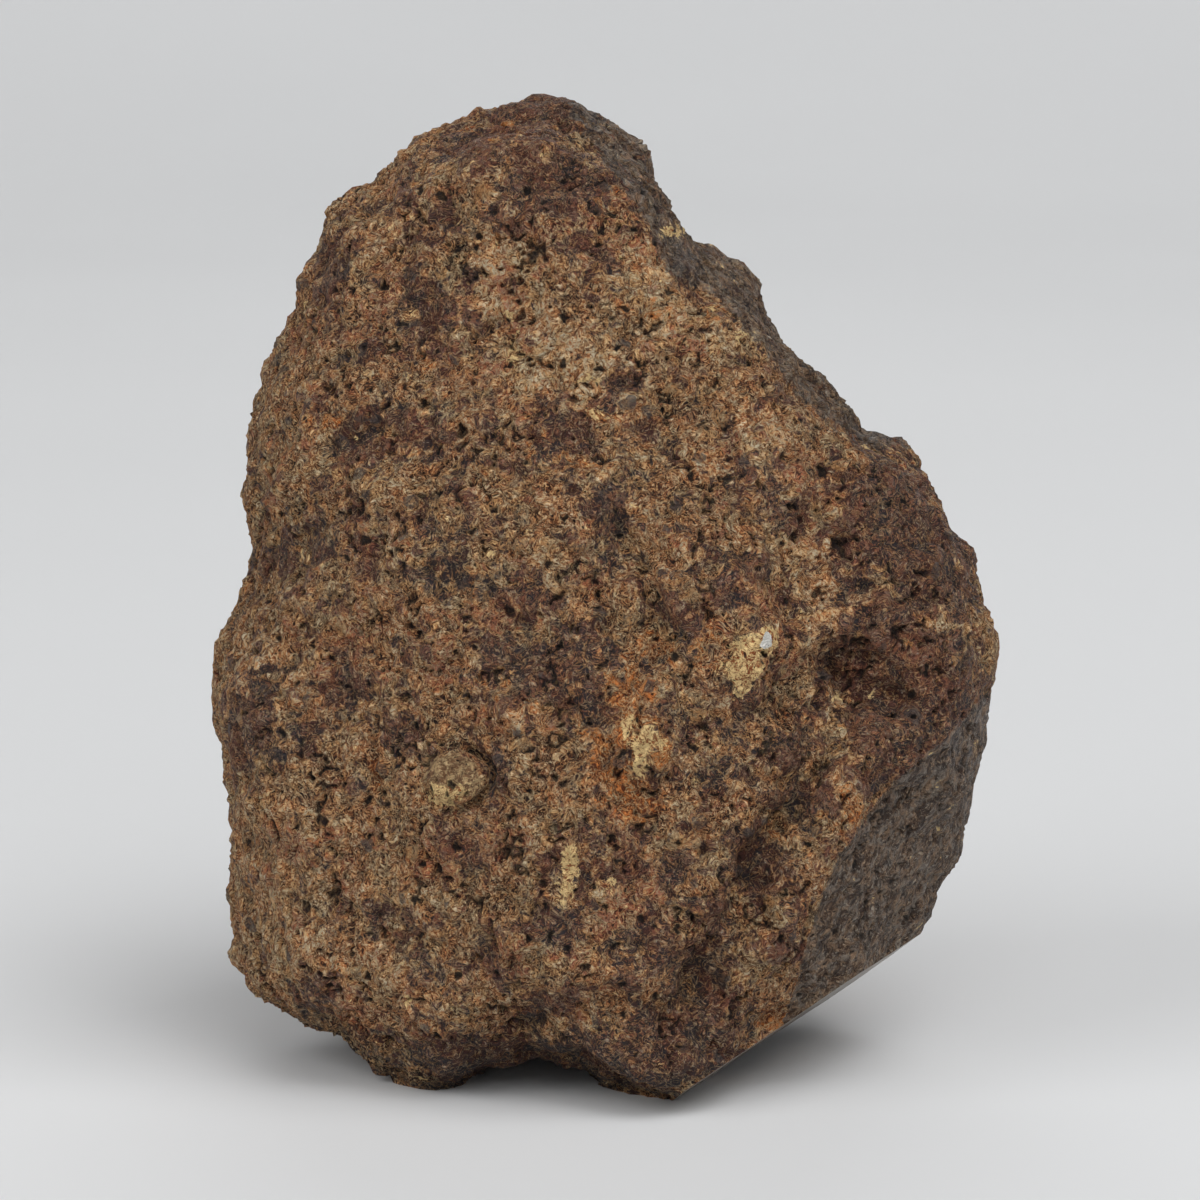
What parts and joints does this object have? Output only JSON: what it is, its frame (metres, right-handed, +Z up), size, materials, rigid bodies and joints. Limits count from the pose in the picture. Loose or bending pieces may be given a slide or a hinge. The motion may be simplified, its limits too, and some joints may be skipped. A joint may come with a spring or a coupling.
{
  "type": "stony meteorite",
  "caption": "Weathered stony meteorite with a pitted brown crust, a grey broken flank and a sawn face, resting on small flats.",
  "frame": {"origin": "middle of the footprint box, on the ground plane that the stone rests on", "axes": "+Z up along the stone's height, +X to the right of the front view, +Y away from the viewer of the front view"},
  "size_m": [0.063, 0.051, 0.0759],
  "materials": {
    "weathered_stone": "matt weathered crust"
  },
  "bodies": {
    "root": {"meteorite": "weathered_stone"}
  },
  "joints": []
}
